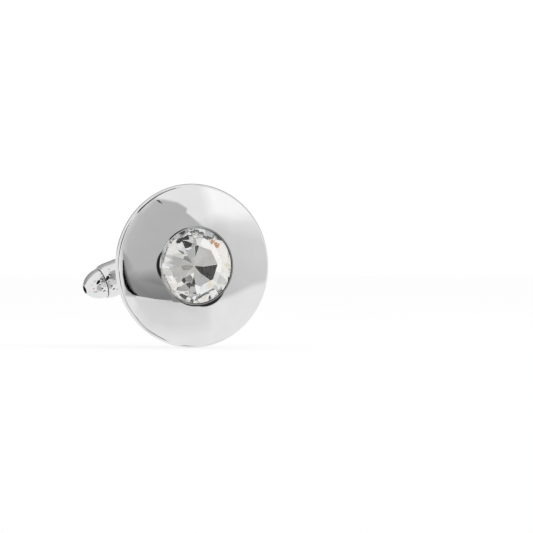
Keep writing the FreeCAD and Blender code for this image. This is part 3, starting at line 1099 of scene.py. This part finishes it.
@dataclass
class Studio:
    """The white floor and surroundings, the soft light, the cards and the camera.

    The camera's sizes and the floor's level are in millimetres, angles in degrees, the rest in
    metres.
    """

    floor_level: float = -9.0
    floor_size: float = 3.0
    floor_grain: float = 60.0
    floor_stops: Pair = (0.3, 0.7)
    floor_dull: Triple = (0.93, 0.93, 0.93)
    floor_pale: Triple = (0.96, 0.96, 0.96)
    floor_glow: float = 0.72
    box_size: Pair = (0.34, 0.22)
    box_energy: float = 0.32
    box_way: Pair = (47.0, 38.0)
    box_distance: float = 0.5
    bounces: int = 24
    mirror_bounces: int = 16
    distance: float = 450.0
    lens: float = 277.5
    sensor: float = 36.0
    clip: Pair = (0.01, 20.0)
    yaw: float = -22.5
    frame_size: float = 533.0
    aim_pixel: Pair = (193.6, 265.8)
    aim_point: Triple = (0.0, -1.5, 0.0)
    cards: tuple[Card, ...] = (
        Card("wall", (
            (-6.9, -11, 1.5, 0.56), (-7.2, 2.6, 3, 0.6), (-5.7, 11.6, 6, 0.62),
            (-0.5, 19.4, 6, 0.62), (6, 24.6, 3, 0.6), (9.3, 24.9, 1, 0.58),
            (15.7, 23.3, 1, 0.58), (18.9, 21.3, 0.8, 0.58), (18.3, 19.7, 0.8, 0.58),
            (24.1, 14.2, 1.2, 0.58), (24.8, -12.3, 3, 0.6), (14.4, -13.6, 0.5, 0.58),
            (4.7, -12.9, 0.4, 0.58), (-1.7, -12, 0.4, 0.58)), 0.52),
        Card("wall_foot", (
            (-8.5, 4.5, 2.5, 0.42), (-6.4, -3.5, 3.5, 0.44), (-3, -5.6, 4.5, 0.38),
            (3, -5.6, 5, 0.3), (9, -7.5, 6, 0.27), (16, -10.5, 7, 0.28),
            (22, -12.4, 5, 0.36), (14.5, -13.6, 0.4, 0.26), (4.7, -13.1, 0.3, 0.25),
            (-2.4, -12, 0.3, 0.34), (-5, -10.6, 0.3, 0.32), (-7.2, -8, 0.3, 0.32),
            (-8.6, -3.6, 0.3, 0.36)), 0.44),
        Card("camera_slit", (
            (-8.9, 2.2, 0.2, 0.0), (-8.8, -3.6, 0.25, 0.0), (-8, -7.5, 0.3, 0.0),
            (-6.8, -9.5, 0.3, 0.0), (-4.6, -11.2, 0.3, 0.0), (-2.3, -11.8, 0.2, 0.0),
            (-4.6, -10.3, 0.6, 0.0), (-5.9, -8.9, 1.2, 0.0), (-7.2, -6.7, 1.6, 0.0),
            (-8.1, -3.6, 1.4, 0.0), (-8.6, 2.2, 0.3, 0.0)), 0.4),
        Card.even("wall_clamp", (
            (6.4, 25.4), (7.6, 25.3), (8.9, 23.9), (7.6, 24.5)), 0.2, 0.05, 0.4),
        Card("right_wall", (
            (25.4, 12.2, 6, 0.8), (30.6, 12.8, 7, 0.8), (40.3, 9, 7, 0.8),
            (61, 5, 7, 0.84), (62.2, -1.9, 3, 0.84), (46.7, -5.2, 2, 0.76),
            (33.8, -10.3, 2, 0.7), (25.4, -12.3, 4, 0.68)), 0.53),
        Card("table_top", (
            (-4, -12.5, 0.8, 0.86), (0, -13, 0.3, 0.82), (6, -13.6, 0.3, 0.77),
            (16, -14.3, 0.6, 0.8), (26, -14.3, 4, 0.86), (27, -20, 6, 0.9),
            (12, -22, 7, 0.86), (4, -20.5, 6, 0.86), (-1, -16.5, 4, 0.86)), 0.47),
        Card("table_line", (
            (-3.3, -11.8, 0.2, 1.1), (4.7, -13, 0.2, 1.15), (11.8, -13.4, 0.2, 1.05),
            (11.8, -13.5, 0.2, 1.05), (4.7, -13.1, 0.2, 1.15),
            (-3.3, -11.9, 0.2, 1.1)), 0.43),
        Card.even("bright_sky", (
            (32.5, 19.4), (31.2, 28.4), (45.5, 25.8), (50.7, 18.1)), 8, 1.22, 0.55),
        Card.even("camera_body", (
            (-18.5, 12), (-18.5, 28), (-34, 28), (-37, 8), (-34, -1), (-28, -1)), 2.5, 0.02, 0.45),
        Card("lamp_stand", (
            (-13, 36.5, 2, 0.04), (-13, 31, 2, 0.04), (-3, 22, 1.5, 0.04),
            (3, 26, 1, 0.04), (10, 31, 0.8, 0.04), (18, 33, 0.8, 0.04),
            (18, 36, 2, 0.04), (-5, 36.5, 2, 0.04)), 0.46),
        Card.even("table_gap", ((-2, -31.5), (8, -32.5), (8, -40), (-2, -40)), 2, 0.04, 0.46),
        Card.even("table_leg", ((25, -50), (37, -61)), 2, 0.04, 0.46),
        Card("grey_floor", (
            (-29, -13, 7, 0.54), (-18, -14, 6, 0.54), (-11, -26, 5, 0.52),
            (-3, -35, 5, 0.52), (6, -42, 6, 0.56), (4, -54, 10, 0.6),
            (-10, -52, 10, 0.6), (-28, -42, 10, 0.58)), 0.56),
        Card("grey_ceiling", (
            (-17, 38, 3, 0.5), (2, 36, 2, 0.45), (14, 35, 2, 0.45), (16, 58, 4, 0.5),
            (-17, 56, 4, 0.55)), 0.56),
        Card.even("warm_side", ((-54, -6), (-68, 5)), 2, 0.88, 0.57, (1.0, 0.96, 0.82)),
        Card.even("warm_high", ((-32, 33), (-42, 42)), 2, 0.95, 0.57, (1.0, 0.94, 0.82)),
        Card.even("warm_top", ((-28, 55), (-38, 63)), 2, 0.95, 0.57, (1.0, 0.92, 0.8)),
        Card.even("amber_spot", (
            (-43, -38), (-43, -32), (-55, -26), (-55, -33)), 1, 0.62, 0.55, (1.0, 0.5, 0.25)),
        Card("floor_far", (
            (-26, -55, 2, 0.62), (-64, -55, 2, 0.62), (-64, -67, 2, 0.55),
            (-26, -67, 2, 0.55)), 0.56),
        Card.even("ceiling_far", ((-15, 70), (-45, 80)), 2, 0.6, 0.56),
        Card.even("side_grey", ((-44, 17), (-57, 30)), 2, 0.7, 0.56),
        Card.even("lens_front", ((-21, -10), (-13, -3)), 2, 0.04, 0.46),
        Card.even("low_clamp", ((-7.6, -25.3), (-5.6, -23.3)), 2.6, 0.04, 0.46),
        Card.even("far_low", ((60, -56), (68, -42)), 1, 0.5, 0.56),
        Card.even("far_high", ((45, 51), (51, 57)), 0.6, 0.04, 0.56),
        Card.even("stand_top", ((-24, 32), (-14, 42)), 0.8, 0.04, 0.46),
        Card("back_flag", (
            (105, 14, 11, 0.32), (105, 50, 15, 0.6), (140, 60, 16, 0.6),
            (175, 62, 16, 0.6), (210, 57, 16, 0.58), (238, 46, 16, 0.56),
            (240, 14, 11, 0.36), (175, 11, 10, 0.26)), 0.55),
    )

    def pose_camera(self) -> None:
        """Set the camera so that the aim point falls on its pixel."""
        turn = math.radians(self.yaw)
        right = Vector((math.cos(turn), math.sin(turn), 0.0))
        back = Vector((math.sin(turn), -math.cos(turn), 0.0))
        up = Vector((0.0, 0.0, 1.0))
        scale = self.distance / (self.lens / self.sensor * self.frame_size)
        aside, below = ((self.frame_size / 2 - pixel) * scale for pixel in self.aim_pixel)
        place = Vector(self.aim_point) + back * self.distance
        place += right * aside - up * below
        data = bpy.data.cameras.new("camera")
        data.lens = self.lens
        data.sensor_width = self.sensor
        data.clip_start, data.clip_end = self.clip
        camera = link_object("camera", data)
        turned = Matrix((right, up, back)).transposed().to_4x4()
        camera.matrix_world = Matrix.Translation(place * MM) @ turned
        bpy.context.scene.camera = camera

    def lay_floor(self) -> None:
        """Lay the pale floor, which shows white and keeps the object's soft shadow."""
        mesh = bmesh.new()
        bmesh.ops.create_grid(mesh, x_segments=1, y_segments=1, size=self.floor_size)
        bmesh.ops.translate(mesh, verts=mesh.verts, vec=(0.0, 0.0, self.floor_level * MM))
        floor = mesh_object("floor", mesh, smooth=False)
        material, bench, shader = new_material("pale_floor")
        grain = bench.noise(self.floor_grain)
        pale = bench.ramp(grain, self.floor_stops, self.floor_dull, self.floor_pale)
        bench.feed(shader, {"Base Color": pale, "Roughness": 1.0, "Specular IOR Level": 0.0})
        glow = bench.run("ShaderNodeEmission", {})
        sight = bench.add("ShaderNodeLightPath").outputs["Is Camera Ray"]
        bench.blend(bench.math("MULTIPLY", sight, self.floor_glow), shader.outputs[0], glow)
        floor.data.materials.append(material)
        floor.visible_glossy = False
        floor.visible_transmission = False

    def light(self) -> None:
        """Surround the object with plain white and add one soft overhead box."""
        world = bpy.data.worlds.new("white_surround")
        world.use_nodes = True
        surround = world.node_tree.nodes["Background"]
        surround.inputs["Color"].default_value = (*WHITE, 1.0)
        surround.inputs["Strength"].default_value = 1.0
        bpy.context.scene.world = world
        data = bpy.data.lights.new("soft_box", "AREA")
        data.shape = "RECTANGLE"
        data.size, data.size_y = self.box_size
        data.energy = self.box_energy
        lamp = link_object("soft_box", data)
        lamp.location = toward(*self.box_way) * self.box_distance
        lamp.rotation_euler = lamp.location.to_track_quat("Z", "Y").to_euler()
        lamp.visible_glossy = False
        lamp.visible_transmission = False

    def build(self) -> None:
        """Build the whole studio."""
        scene = bpy.context.scene
        scene.view_settings.view_transform = "Standard"
        scene.cycles.max_bounces = self.bounces
        scene.cycles.glossy_bounces = self.mirror_bounces
        scene.cycles.transmission_bounces = self.mirror_bounces
        self.lay_floor()
        self.light()
        glow = card_glow()
        for card in self.cards:
            card.build(glow)
        self.pose_camera()


def main() -> None:
    """Build the pieces in order, then the studio."""
    logging.basicConfig(level=logging.INFO, format="%(name)s: %(message)s")
    metal = PlatedMetal("polished_plating").make()
    Head(metal, CutGlass().make(), MirrorFoil().make()).build()
    Post(metal).build()
    Toggle(metal, RolledSteel().make()).build()
    Studio().build()


if __name__ == "__main__":
    main()
